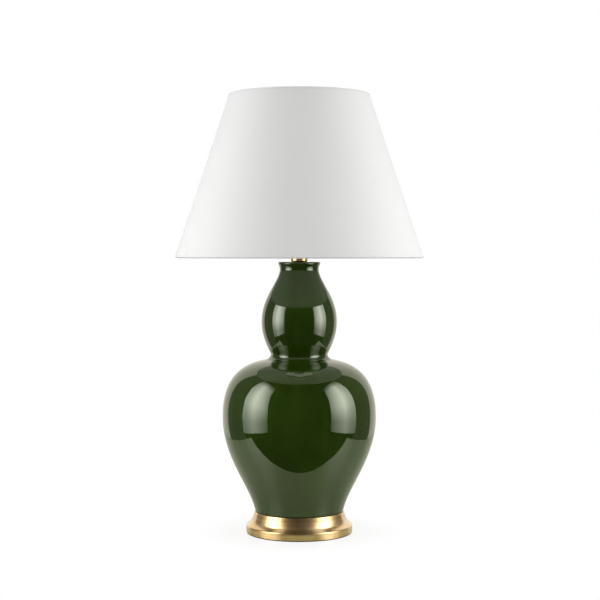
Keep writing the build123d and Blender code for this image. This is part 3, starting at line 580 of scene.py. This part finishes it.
# %% The glazed jar
bm = spun(gourd_outline(), JAR_STEPS)
bmesh.ops.solidify(bm, geom=bm.faces[:], thickness=JAR_WALL)
glazed_jar = finished(bm, "glazed_jar", "green_glaze", "stand")
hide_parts("gourd_jar")

# %% [markdown]
# ## The shade's cloth
#
# The cloth is one flat piece, cut as a ring's sector and rolled into a cone, so it needs a UV
# map that says where each point was before it was rolled: `u` is the way round at the cone's
# middle and `v` the way up the slope, both in metres. The weave follows it. The sheet is
# spun as one line, mapped, and then given its thickness inwards.

# %% The shade's sizes
SHADE_TOP_RADIUS, SHADE_BOTTOM_RADIUS = 115.3 * MM, 204.2 * MM
SHADE_HEIGHT = 268.3 * MM
SHADE_STEPS, CLOTH_ROWS = 256, 24
CLOTH, PLY_GAP = 0.6 * MM, 0.1 * MM
HEM_THICKNESS, HEM_OUTSIDE, HEM_INSIDE = 0.5 * MM, 2.6 * MM, 6.5 * MM
HEM_ROUNDING, HEM_DEPTH = 1.2 * MM, 4.9 * MM

slope = hypot(SHADE_HEIGHT, SHADE_BOTTOM_RADIUS - SHADE_TOP_RADIUS)
lean_out = (SHADE_BOTTOM_RADIUS - SHADE_TOP_RADIUS) / slope
lean_up = SHADE_HEIGHT / slope
edge = HEM_ROUNDING + PLY_GAP
rim_high_z = high("shade_fabric") + edge * lean_up
rim_low_z = rim_high_z - SHADE_HEIGHT
cone_round = pi * (SHADE_TOP_RADIUS + SHADE_BOTTOM_RADIUS)
print("slope:", round(slope, 4), "m  round the middle:", round(cone_round, 4), "m")


# %% Places on the cone
def on_cone(rim_radius, rim_z, up, out):
    """A point given from a rim of the shade: up its slope, and out from its face."""
    return (rim_radius - up * lean_out + out * lean_up, rim_z + up * lean_up + out * lean_out)


def from_rim(vert, rim_radius, rim_z):
    """The way back: how far a vertex is up the slope from a rim, and in from the face."""
    inwards = rim_radius - hypot(vert.co.x, vert.co.y)
    rise = vert.co.z - rim_z
    return rise * lean_up + inwards * lean_out, inwards * lean_up - rise * lean_out


def cloth_map(bm, rim_radius, rim_z):
    """A UV map in metres: the way round, and the way up the slope from a rim."""
    layer = bm.loops.layers.uv.new("cloth")
    for face in bm.faces:
        middle = face.calc_center_median()
        turn = atan2(middle.y, middle.x)
        for loop in face.loops:
            at = loop.vert.co
            bent = (atan2(at.y, at.x) - turn + pi) % (2 * pi) - pi
            up, _ = from_rim(loop.vert, rim_radius, rim_z)
            loop[layer].uv = ((turn + bent) / (2 * pi) * cone_round, up)
    return bm


# %% The cloth
cloth_line = [
    on_cone(SHADE_BOTTOM_RADIUS, rim_low_z, edge + (slope - 2 * edge) * n / CLOTH_ROWS, 0)
    for n in range(CLOTH_ROWS + 1)
]
bm = cloth_map(spun(cloth_line, SHADE_STEPS), SHADE_BOTTOM_RADIUS, rim_low_z)
bmesh.ops.solidify(bm, geom=bm.faces[:], thickness=CLOTH)
cloth = finished(bm, "shade_cloth_cone", "shade_cloth", "shade")
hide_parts("shade_fabric")

# %% [markdown]
# ## The lap seam
#
# A rolled cone has to close somewhere. The cloth's two ends lap by 12 mm at the back and are
# glued, so from behind a straight strip stands one cloth's thickness proud, from hem to hem. Its
# width is the same all the way up, so it takes a smaller angle at the wide rim.

# %% The lap seam
SEAM_WIDTH, SEAM_CLEAR, SEAM_LIFT = 12 * MM, 3.2 * MM, 0.05 * MM
CLOTH_LAP = 0.4 * MM
SEAM_COLUMNS, SEAM_ROWS = 4, 48


def on_seam(across, up):
    """A point of the lap at the back: across its width, and up the slope, both 0 to 1."""
    rise = SEAM_CLEAR + (slope - 2 * SEAM_CLEAR) * up
    r, z = on_cone(SHADE_BOTTOM_RADIUS, rim_low_z, rise, SEAM_LIFT + CLOTH_LAP)
    turn = pi / 2 + (across - 0.5) * SEAM_WIDTH / r
    return Vector((r * cos(turn), r * sin(turn), z))


bm = bmesh.new()
bmesh.ops.create_grid(bm, x_segments=SEAM_COLUMNS, y_segments=SEAM_ROWS, size=0.5)
for vert in bm.verts:
    vert.co = on_seam(vert.co.x + 0.5, vert.co.y + 0.5)
bmesh.ops.recalc_face_normals(bm, faces=bm.faces)
if max(face.normal.y for face in bm.faces) < 0:
    bmesh.ops.reverse_faces(bm, faces=bm.faces)
cloth_map(bm, SHADE_BOTTOM_RADIUS, rim_low_z)
bmesh.ops.solidify(bm, geom=bm.faces[:], thickness=CLOTH_LAP)
lap_seam = finished(bm, "cloth_lap_seam", "shade_cloth", "shade")

# %% [markdown]
# ## The hems
#
# Each rim is bound with a strip of the same cloth, folded over the wire ring and glued. Its
# section is a thin U that hugs the edge: short outside, longer inside. Two paths with rounded
# corners, one a cloth's thickness inside the other, close into that section, which is spun.
# The top strip is snipped where an arm of the spider comes in to the ring. A hand-folded strip
# is never quite even, so all of it is nudged in and out a little.


# %% A path with rounded corners
CORNER_STEPS, CORNER_PULL = 4, 0.55


def rounded_path(points, radius):
    """The points with each corner between two runs replaced by a small curve."""
    line = [points[0]]
    for before, corner, after in zip(points, points[1:], points[2:]):
        centre = Vector(corner)
        start = centre + (Vector(before) - centre).normalized() * radius
        end = centre + (Vector(after) - centre).normalized() * radius
        handles = start.lerp(centre, CORNER_PULL), end.lerp(centre, CORNER_PULL)
        line += curve(start, *handles, end, CORNER_STEPS)
    return line + [points[-1]]


def hem_line(rim_radius, rim_z, inwards):
    """The section of a folded strip over a rim."""
    skin, back = PLY_GAP / 2 + HEM_THICKNESS, HEM_DEPTH + HEM_THICKNESS

    def at(into, depth):
        return on_cone(rim_radius, rim_z, inwards * into, -depth)

    outer = [at(HEM_OUTSIDE, -skin), at(0, -skin), at(0, back), at(HEM_INSIDE, back)]
    inner = [
        at(HEM_OUTSIDE, -PLY_GAP / 2), at(HEM_THICKNESS, -PLY_GAP / 2),
        at(HEM_THICKNESS, HEM_DEPTH), at(HEM_INSIDE, HEM_DEPTH),
    ]
    outside = rounded_path(outer, HEM_ROUNDING)
    return outside + rounded_path(inner, HEM_ROUNDING - HEM_THICKNESS)[::-1]


# %% Snips and unevenness
ARM_TURNS = [radians(90 + 120 * n) for n in range(3)]
SNIP, SNIP_LEFT = radians(2.2), 0.08
HEM_UNEVEN, LONG_WAVES, SHORT_WAVES = 0.1 * MM, 38, 150


def snipped(bm, rim_radius, rim_z):
    """Draws the inside of a strip up to the fold wherever an arm of the spider comes in."""
    for vert in bm.verts:
        turn = atan2(vert.co.y, vert.co.x)
        by_arm = min(abs((turn - arm + pi) % (2 * pi) - pi) for arm in ARM_TURNS) < SNIP
        up, depth = from_rim(vert, rim_radius, rim_z)
        if by_arm and depth > HEM_DEPTH - HEM_ROUNDING:
            new_out, new_z = on_cone(rim_radius, rim_z, up * SNIP_LEFT, -depth)
            vert.co = (cos(turn) * new_out, sin(turn) * new_out, new_z)
    return bm


def uneven(bm):
    """Nudges each point in or out."""
    for vert in bm.verts:
        long_wave = noise.noise(vert.co * LONG_WAVES)
        short_wave = noise.noise(vert.co * SHORT_WAVES)
        outwards = Vector((vert.co.x, vert.co.y, 0)).normalized()
        vert.co += outwards * (long_wave * 0.6 + short_wave * 0.4) * HEM_UNEVEN
    return bm


# %% Both hems
bm = spun(hem_line(SHADE_BOTTOM_RADIUS, rim_low_z, 1), SHADE_STEPS, closed=True)
bm = uneven(cloth_map(bm, SHADE_BOTTOM_RADIUS, rim_low_z))
low_hem = finished(bm, "bottom_hem_strip", "shade_cloth", "shade")

bm = spun(hem_line(SHADE_TOP_RADIUS, rim_high_z, -1), SHADE_STEPS, closed=True)
bm = snipped(cloth_map(bm, SHADE_TOP_RADIUS, rim_high_z), SHADE_TOP_RADIUS, rim_high_z)
high_hem = finished(uneven(bm), "top_hem_strip", "shade_cloth", "shade")
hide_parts("bottom_hem")
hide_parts("top_hem")

# %% [markdown]
# ## The cloth laid flat
#
# Unrolled, a cone is a sector of a ring: its outer edge is as far from the tip as the wide rim
# is along the slope, and it opens by as much of a full turn as the cone leans out.

# %% [markdown]
# ## Threads
#
# A screw thread is one wave that climbs by its pitch in each turn, so a turned piece gets one by
# drawing each point towards the axis by a wave of its height less its share of a turn. The lamp
# pipe is cut with 27 threads to the inch, at its two ends only, where the nut and the lampholder
# hold it. The bulb's cap is rolled from thin sheet with 7 to the inch, so its wall waves inside
# and out, and the contact that it screws into is rolled to match, with a shallower wave so that
# the cap runs free.


# %% Turned pieces with a thread
def threaded(bm, start, end, pitch, depth, reaches):
    """Draws points further out than `reaches`, between two heights, in by a climbing wave."""
    for vert in bm.verts:
        out = hypot(vert.co.x, vert.co.y)
        if out > reaches and start < vert.co.z < end:
            turn = atan2(vert.co.y, vert.co.x) / (2 * pi)
            wave = 0.5 - 0.5 * cos(2 * pi * (vert.co.z / pitch - turn))
            fade = min(1.0, (vert.co.z - start) / pitch, (end - vert.co.z) / pitch)
            share = 1 - depth * wave * fade / out
            vert.co.x, vert.co.y = vert.co.x * share, vert.co.y * share
    return bm


def climb(radius, start, end, step):
    """Points straight up, close enough together to carry a thread."""
    count = max(1, round((end - start) / step))
    return [(radius, start + (end - start) * n / count) for n in range(count + 1)]


# %% The lamp pipe
PIPE_RADIUS, PIPE_BORE, PIPE_SKIN = 5.1 * MM, 3.4 * MM, 4 * MM
PIPE_PITCH, PIPE_THREAD = INCH / 27, 0.45 * MM
THREADED_LOW, THREADED_HIGH = 30 * MM, 22 * MM
PIPE_STEPS, ROWS_TO_A_THREAD = 32, 8

pipe_low, pipe_high = low("threaded_rod"), high("threaded_rod")
low_end, high_end = pipe_low + THREADED_LOW, pipe_high - THREADED_HIGH
outside = climb(PIPE_RADIUS, pipe_low, low_end, PIPE_PITCH / ROWS_TO_A_THREAD)
outside += climb(PIPE_RADIUS, high_end, pipe_high, PIPE_PITCH / ROWS_TO_A_THREAD)
bm = spun(outside + [(PIPE_BORE, pipe_high), (PIPE_BORE, pipe_low)], PIPE_STEPS, closed=True)
threaded(bm, pipe_low - PIPE_PITCH, low_end, PIPE_PITCH, PIPE_THREAD, PIPE_SKIN)
threaded(bm, high_end, pipe_high + PIPE_PITCH, PIPE_PITCH, PIPE_THREAD, PIPE_SKIN)
lamp_pipe = finished(bm, "threaded_lamp_pipe", "zinc_steel", "stand")
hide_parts("threaded_rod")

# %% The bulb's cap
CAP_RADIUS, CAP_SHEET, CAP_EDGE, CAP_SKIN = 13.0 * MM, 0.5 * MM, 1.5 * MM, 12 * MM
CAP_FLOOR, CAP_HOLE = 2.0 * MM, 9.0 * MM
CAP_PITCH, CAP_THREAD, CAP_PLAIN = INCH / 7, 0.7 * MM, 4.0 * MM
CAP_ROW, CAP_STEPS, CAP_EDGE_STEPS = 0.3 * MM, 72, 6

cap_low, cap_high = low("bulb_cap"), high("bulb_cap")
edge_centre = (CAP_RADIUS - CAP_EDGE, cap_low + CAP_EDGE)
wall = climb(CAP_RADIUS, cap_low + CAP_EDGE, cap_high, CAP_ROW)
lining = climb(CAP_RADIUS - CAP_SHEET, cap_low + CAP_FLOOR, cap_high, CAP_ROW)
line = [(CAP_HOLE, cap_low)]
line += quarter_turn(edge_centre, CAP_EDGE, -pi / 2, 0, CAP_EDGE_STEPS) + wall[1:]
line += lining[::-1] + [(CAP_HOLE, cap_low + CAP_FLOOR)]
bm = spun(line, CAP_STEPS, closed=True)
threaded(bm, cap_low + CAP_FLOOR, cap_high - CAP_PLAIN, CAP_PITCH, CAP_THREAD, CAP_SKIN)
screw_cap = finished(bm, "rolled_screw_cap", "cap_aluminium", "bulb")
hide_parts("bulb_cap")

# %% The contact that the cap screws into
CONTACT_WALL, CONTACT_THREAD, CONTACT_HOLE = 0.6 * MM, 0.22 * MM, 6.7 * MM

cup_low, cup_high = low("screw_contact"), high("screw_contact")
cup_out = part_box("screw_contact")[1].x
floor_top = cup_low + CONTACT_WALL
line = [(CONTACT_HOLE, cup_low), (cup_out, cup_low)]
line += climb(cup_out, floor_top, cup_high, CAP_ROW)
line += climb(cup_out - CONTACT_WALL, floor_top, cup_high, CAP_ROW)[::-1]
line += [(CONTACT_HOLE, floor_top)]
bm = spun(line, CAP_STEPS, closed=True)
threaded(bm, floor_top + CONTACT_WALL, cup_high, CAP_PITCH, CONTACT_THREAD, CAP_SKIN)
screw_cup = finished(bm, "rolled_screw_contact", "cap_aluminium", "stand")
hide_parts("screw_contact")

# %% [markdown]
# ## Screw heads and welds
#
# Small marks of how the lamp is put together: each terminal screw has a slotted head, made as a
# disc with two half discs on it, and each arm of the spider is held on its hub by a small puddle
# of weld on top.

# %% Slotted screw heads
SLOT_WIDTH, SLOT_DEPTH, HEAD_THICKNESS, HEAD_EDGE = 0.7 * MM, 0.6 * MM, 1.3 * MM, 0.12 * MM
HEAD_SEGMENTS = 48

head_low, head_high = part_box("terminal_screws")
head_radius = (head_high.z - head_low.z) / 2
head_z = (head_high.z + head_low.z) / 2


def add_disc(bm, thickness):
    """Adds a disc of the head's width that stands on the plane of X and Y."""
    bmesh.ops.create_cone(
        bm, cap_ends=True, segments=HEAD_SEGMENTS, radius1=head_radius, radius2=head_radius,
        depth=thickness, matrix=Matrix.Translation((0, 0, thickness / 2)),
    )


def all_of(bm):
    return bm.verts[:] + bm.edges[:] + bm.faces[:]


def slotted_head(side):
    """A slotted screw head that looks sideways, at the side where `side` points."""
    bm = bmesh.new()
    add_disc(bm, HEAD_THICKNESS)
    cut = bmesh.ops.bisect_plane(
        bm, geom=all_of(bm), plane_co=(0, SLOT_WIDTH / 2, 0), plane_no=(0, 1, 0),
        clear_inner=True,
    )
    rim = [part for part in cut["geom_cut"] if isinstance(part, bmesh.types.BMEdge)]
    bmesh.ops.contextual_create(bm, geom=rim)
    top = [e for e in bm.edges if all(v.co.z > HEAD_THICKNESS - HEAD_EDGE for v in e.verts)]
    bmesh.ops.bevel(
        bm, geom=top, offset=HEAD_EDGE, segments=2, profile=0.5, affect="EDGES", material=-1,
    )
    half = bmesh.ops.duplicate(bm, geom=all_of(bm))["geom"]
    turned = [part for part in half if isinstance(part, bmesh.types.BMVert)]
    bmesh.ops.rotate(bm, verts=turned, matrix=Matrix.Rotation(pi, 3, "Z"))
    add_disc(bm, HEAD_THICKNESS - SLOT_DEPTH)
    bmesh.ops.rotate(bm, verts=bm.verts, matrix=Matrix.Rotation(side * pi / 2, 3, "Y"))
    place = (side * (head_high.x - HEAD_THICKNESS), 0, head_z)
    bmesh.ops.translate(bm, verts=bm.verts, vec=place)
    bmesh.ops.recalc_face_normals(bm, faces=bm.faces)
    return bm


both = bmesh.new()
for side in (-1, 1):
    head = slotted_head(side)
    mesh = bpy.data.meshes.new("one_head")
    head.to_mesh(mesh)
    head.free()
    both.from_mesh(mesh)
    bpy.data.meshes.remove(mesh)
screw_heads = finished(both, "slotted_screw_heads", "bright_brass", "stand")
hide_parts("terminal_screws")

# %% Welds on the hub
WELD_OUT, WELD_SIZE, WELD_LIFT = 11.4 * MM, (3.0 * MM, 2.3 * MM, 0.9 * MM), 0.4 * MM
WELD_UNEVEN, WELD_WAVES = 0.1 * MM, 900

bm = bmesh.new()
for arm in ARM_TURNS:
    puddle = bmesh.ops.create_uvsphere(bm, u_segments=24, v_segments=14, radius=1.0)["verts"]
    bmesh.ops.scale(bm, verts=puddle, vec=WELD_SIZE)
    bmesh.ops.translate(bm, verts=puddle, vec=(WELD_OUT, 0, high("spider_hub") + WELD_LIFT))
    bmesh.ops.rotate(bm, verts=puddle, cent=(0, 0, 0), matrix=Matrix.Rotation(arm, 3, "Z"))
for vert in bm.verts:
    vert.co.z += noise.noise(vert.co * WELD_WAVES) * WELD_UNEVEN
finished(bm, "hub_welds", "bright_brass", "shade")

# %% [markdown]
# ## The table
#
# The lamp stands on a white table. The camera sees the table's own shaded surface close to the
# lamp, where its shadow falls, and plain white further off, so that there is no edge between
# table and wall. What the glaze mirrors is the table top, the size that it has in a studio, in a
# slightly warm white with painted shade towards the lamp's own middle, and beyond its edges the
# dark room. The table is stage, not part of the lamp.

# %% The white table
TABLE_REACH, TABLE_HALF_WIDTH, TABLE_FRONT = 6.0, 0.51, -0.178
SHADOW_REACH, SHADOW_END, SHADOW_KEPT = 0.085, 0.18, 0.85
# The second colour below is painted shade: the table as the glaze mirrors it near the lamp's
# middle.
TABLE_WHITE, WARM_PAINTED_SHADE, WARM_WHITE = (0.60, 0.60, 0.57), (0.50, 0.53, 0.37), (0.635, 0.665, 0.52)
PAINTED_SHADE_START, PAINTED_SHADE_END = 0.02, 0.22


def table_finish():
    top = Finish("white_table", Roughness=0.25)
    x, y, _ = top.parts_of(top.place())
    seen, mirrored = top.ray("Camera"), top.ray("Glossy")
    # Painted shade: what the glaze mirrors of the table is darker near the lamp's middle and fades
    # out sideways.
    warm_and_painted_shade = top.blend(top.between(abs(x), PAINTED_SHADE_START, PAINTED_SHADE_END), WARM_PAINTED_SHADE, WARM_WHITE)
    top.surface(Base_Color=top.blend(mirrored, TABLE_WHITE, warm_and_painted_shade))
    away = (x * x + y * y).root()
    fade = top.between(away, SHADOW_REACH, SHADOW_END) * (1 - SHADOW_KEPT) + SHADOW_KEPT
    plain = Wire(top, top.shader.outputs[0])
    white = top.node("ShaderNodeEmission", {}, {"Color": (1.0, 1.0, 1.0), "Strength": 1.0})
    near = top.node("ShaderNodeMixShader", {}, {0: seen * fade, 1: plain, 2: white})
    on_table = (abs(x) < TABLE_HALF_WIDTH) * (y > TABLE_FRONT)
    clear = top.node("ShaderNodeBsdfTransparent", {}, {})
    beyond = mirrored * (1 - on_table)
    top.show(top.node("ShaderNodeMixShader", {}, {0: beyond, 1: near, 2: clear}))
    return top.material


bm = bmesh.new()
bmesh.ops.create_grid(bm, x_segments=1, y_segments=1, size=TABLE_REACH)
table_top = as_object(bm, "white_table", table_finish())
print("table mirrored from", TABLE_FRONT, "m, and to", TABLE_HALF_WIDTH, "m at each side")

# %% [markdown]
# ## The softboxes
#
# Two tall softboxes stand left and right of the camera's line, a little in front of the lamp.
# They show in the glaze as two bright upright panels, hottest in the middle and darker towards
# the ends, and that is what makes the jar look wet. Each is a sheet that glows on the side
# towards the lamp, with the lower corner at its back raised a little.

# %% Softboxes
PANEL_OUT, PANEL_NEAR, PANEL_FAR = 0.865, -0.85, -0.045
PANEL_LOW, PANEL_HIGH = -0.13, 1.40
PANEL_LIGHT, CORNER_RAISED = 6.5, 0.08
PANEL_WHITE = (1.0, 1.0, 0.995)
GLOW_ACROSS = [(0.0, 0.27), (0.3, 0.62), (0.62, 1.0), (0.86, 0.56), (1.0, 0.45)]
GLOW_UPWARDS = [
    (0.0, 0.31), (0.15, 0.40), (0.33, 0.94), (0.45, 1.0),
    (0.62, 0.90), (0.78, 0.74), (0.90, 0.30), (1.0, 0.10),
]


def panel_finish():
    glow = Finish("softbox_cloth", Base_Color=(0, 0, 0), Roughness=1.0)
    _, y, z = glow.parts_of(glow.place())
    across = (y - PANEL_NEAR) / (PANEL_FAR - PANEL_NEAR)
    upwards = (z - PANEL_LOW) / (PANEL_HIGH - PANEL_LOW)
    hot = glow.node("ShaderNodeValToRGB", {"stops": GLOW_ACROSS}, {"Fac": across})
    height = glow.node("ShaderNodeValToRGB", {"stops": GLOW_UPWARDS}, {"Fac": upwards})
    back = glow.node("ShaderNodeNewGeometry", {}, {}, "Backfacing")
    level = hot * height * PANEL_LIGHT * (1 - back)
    glow.show(glow.node("ShaderNodeEmission", {}, {"Color": PANEL_WHITE, "Strength": level}))
    return glow.material


def softbox(name, side, finish):
    bm = bmesh.new()
    bmesh.ops.create_grid(bm, x_segments=1, y_segments=1, size=0.5)
    bmesh.ops.scale(bm, verts=bm.verts, vec=(PANEL_HIGH - PANEL_LOW, PANEL_FAR - PANEL_NEAR, 1))
    bmesh.ops.rotate(bm, verts=bm.verts, matrix=Matrix.Rotation(-side * pi / 2, 3, "Y"))
    middle = (side * PANEL_OUT, (PANEL_NEAR + PANEL_FAR) / 2, (PANEL_LOW + PANEL_HIGH) / 2)
    bmesh.ops.translate(bm, verts=bm.verts, vec=middle)
    corner = [v for v in bm.verts if v.co.y > middle[1] and v.co.z < middle[2]]
    bmesh.ops.translate(bm, verts=corner, vec=(0, 0, CORNER_RAISED))
    panel = as_object(bm, name, finish)
    panel.visible_camera = False
    print(name, "at", round(side * PANEL_OUT, 3), "m")


panel_cloth = panel_finish()
for name, side in (("softbox_left", -1), ("softbox_right", 1)):
    softbox(name, side, panel_cloth)

# %% [markdown]
# ## The room
#
# The camera sees plain white all round. A mirror sees the backdrop, which is bright behind the
# lamp, dimmer beside it, a little warm, and next to black in front, where the room is. What
# only scatters light gets an even dim light, and more of it from overhead.

# %% The room
BACKDROP_EDGE = 0.93
BACKDROP_SHINE, SIDE_SHINE, ROOM_SHINE = 0.80, 0.12, 0.03
ROOM_LIGHT, CEILING_LIGHT = 0.26, 0.82
WARM_WALL = (1.06, 1.02, 0.90)

world = bpy.data.worlds.new("studio")
bpy.context.scene.world = world
world.use_nodes = True
room = NodeTree(world.node_tree)
x, y, z = room.parts_of(room.node("ShaderNodeTexCoord", {}, {}, "Generated"))
seen = room.ray("Camera")
sharp = room.ray("Glossy").at_least(room.ray("Transmission"))
behind, beside = y - abs(x) * BACKDROP_EDGE > 0.0, y > 0.0
mirrored = sharp * (behind * BACKDROP_SHINE + beside * SIDE_SHINE + ROOM_SHINE)
overhead = z.at_least(0.0) * CEILING_LIGHT
scattered = (1 - sharp.at_least(seen)) * (overhead + ROOM_LIGHT)
background = world.node_tree.nodes["Background"]
room.put(background.inputs["Strength"], seen + mirrored + scattered)
room.put(background.inputs["Color"], room.blend(sharp, (1.0, 1.0, 1.0), WARM_WALL))
print("room:", len(world.node_tree.nodes), "nodes")

# %% [markdown]
# ## The camera
#
# A catalogue picture is taken from well back with a long lens, and level, so that the lamp's
# sides stay upright. The camera stands at the height where the shade begins, and its frame is
# shifted down on the film, as with a view camera, to take in the plinth.

# %% Camera
CAMERA_PLACE = (0.0012, -2.334, 0.4618)
FRAME_SHIFT = -49.0 / 600.0
LENS, SENSOR = 85.0, 36.0

lens = bpy.data.cameras.new("camera")
lens.lens, lens.sensor_width = LENS, SENSOR
lens.shift_y = FRAME_SHIFT
camera = bpy.data.objects.new("camera", lens)
camera.location = CAMERA_PLACE
camera.rotation_euler = (pi / 2, 0.0, 0.0)
bpy.context.scene.collection.objects.link(camera)
bpy.context.scene.camera = camera
bpy.context.scene.view_settings.view_transform = "Standard"
print("camera:", CAMERA_PLACE, " lens:", LENS, "mm")
